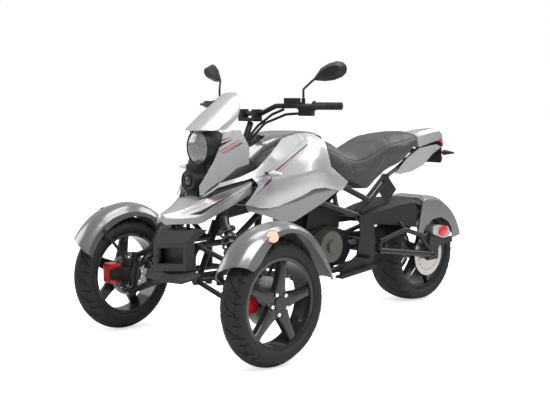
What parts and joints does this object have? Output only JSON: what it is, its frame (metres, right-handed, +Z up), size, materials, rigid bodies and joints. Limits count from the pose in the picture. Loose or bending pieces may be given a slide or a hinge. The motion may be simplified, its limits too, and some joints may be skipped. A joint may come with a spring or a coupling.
{
  "type": "motor trike",
  "caption": "Sporty motor trike with two steered front wheels under fenders, one driven rear wheel, angular silver body panels and a two-level seat.",
  "frame": {"origin": "on the ground at the middle of the overall length and width", "axes": "+Z up, -Y towards the front wheels, +X towards the rider's left"},
  "size_m": [1.152, 2.0707, 1.2299],
  "materials": {
    "tyre_rubber": "matt",
    "rim_black": "gloss",
    "disc_dark": "brushed",
    "disc_bright": "brushed",
    "caliper_red": "gloss",
    "frame_black": "satin",
    "damper_black": "satin",
    "spring_black": "gloss",
    "engine_black": "satin",
    "engine_grey": "satin",
    "chain_steel": "oiled",
    "panel_silver": "metallic gloss",
    "panel_grey": "metallic gloss",
    "tank_dark": "gloss",
    "plastic_black": "matt",
    "grip_rubber": "matt",
    "mirror_glass": "mirror",
    "lens_clear": "clear",
    "lens_red": "gloss",
    "seat_vinyl": "satin"
  },
  "bodies": {
    "trike": {"main_frame": "frame_black", "rear_subframe": "frame_black", "upper_arms": "frame_black", "lower_arms": "frame_black", "front_dampers": "damper_black", "front_springs": "spring_black", "engine_case": "engine_black", "engine_cylinder": "engine_black", "engine_covers": "engine_grey", "airbox": "engine_grey", "exhaust": "engine_black", "chain": "chain_steel", "swingarm": "frame_black", "rear_damper": "damper_black", "rear_caliper": "caliper_red", "rear_fender": "panel_grey", "inner_fender": "plastic_black", "footrests": "plastic_black", "pivot_guards": "plastic_black", "nose_cowl": "panel_silver", "lamp_mask": "panel_silver", "windscreen": "panel_silver", "headlamp_shell": "plastic_black", "headlamp_lens": "lens_clear", "horn_lamp": "plastic_black", "front_bumper": "plastic_black", "skid_plate": "plastic_black", "side_cowls": "panel_silver", "lower_cowls": "panel_grey", "tank_cover": "tank_dark", "seat": "seat_vinyl", "tail_cowl": "panel_silver", "tail_lamps": "lens_red", "turn_signals": "lens_clear", "plate_bracket": "frame_black"},
    "steering": {"steering_column": "frame_black", "handlebar": "frame_black", "grips": "grip_rubber", "hand_controls": "plastic_black", "mirrors": "plastic_black", "mirror_glasses": "mirror_glass", "control_cables": "grip_rubber"},
    "knuckle_left": {"knuckle_left": "frame_black", "fender_front_left": "panel_grey", "caliper_left": "caliper_red"},
    "knuckle_right": {"knuckle_right": "frame_black", "fender_front_right": "panel_grey", "caliper_right": "caliper_red"},
    "track_rod_left": {"track_rod_left": "frame_black"},
    "track_rod_right": {"track_rod_right": "frame_black"},
    "wheel_front_left": {"tyre_front_left": "tyre_rubber", "rim_front_left": "rim_black", "disc_front_left": "disc_dark"},
    "wheel_front_right": {"tyre_front_right": "tyre_rubber", "rim_front_right": "rim_black", "disc_front_right": "disc_dark"},
    "wheel_rear": {"tyre_rear": "tyre_rubber", "rim_rear": "rim_black", "disc_rear": "disc_bright", "sprocket_rear": "disc_bright"}
  },
  "joints": [
    {"name": "column_turn", "type": "hinge", "parent": "trike", "child": "steering", "pos_m": [0, -0.722, 0.306], "axis": [0, 0.4205, 0.9073], "range_deg": [-28, 28]},
    {"name": "knuckle_left_turn", "type": "hinge", "parent": "trike", "child": "knuckle_left", "pos_m": [0.424, -0.771, 0.182], "axis": [-0.0946, 0.0592, 0.9938], "range_deg": [-28, 28]},
    {"name": "track_rod_left_turn", "type": "hinge", "parent": "knuckle_left", "child": "track_rod_left", "pos_m": [0.41359, -0.69049, 0.29131], "axis": [-0.0946, 0.0592, 0.9938], "range_deg": [-28, 28]},
    {"name": "wheel_front_left_spin", "type": "hinge", "parent": "knuckle_left", "child": "wheel_front_left", "pos_m": [0.5, -0.768, 0.262], "axis": [1, 0, 0], "continuous": true},
    {"name": "knuckle_right_turn", "type": "hinge", "parent": "trike", "child": "knuckle_right", "pos_m": [-0.424, -0.771, 0.182], "axis": [0.0946, 0.0592, 0.9938], "range_deg": [-28, 28]},
    {"name": "track_rod_right_turn", "type": "hinge", "parent": "knuckle_right", "child": "track_rod_right", "pos_m": [-0.41359, -0.69049, 0.29131], "axis": [0.0946, 0.0592, 0.9938], "range_deg": [-28, 28]},
    {"name": "wheel_front_right_spin", "type": "hinge", "parent": "knuckle_right", "child": "wheel_front_right", "pos_m": [-0.5, -0.768, 0.262], "axis": [1, 0, 0], "continuous": true},
    {"name": "wheel_rear_spin", "type": "hinge", "parent": "trike", "child": "wheel_rear", "pos_m": [0, 0.747, 0.252], "axis": [1, 0, 0], "continuous": true}
  ],
  "couplings": [
    {"joint": "knuckle_left_turn", "follows": "column_turn", "ratio": 1},
    {"joint": "track_rod_left_turn", "follows": "column_turn", "ratio": -1},
    {"joint": "knuckle_right_turn", "follows": "column_turn", "ratio": 1},
    {"joint": "track_rod_right_turn", "follows": "column_turn", "ratio": -1}
  ]
}
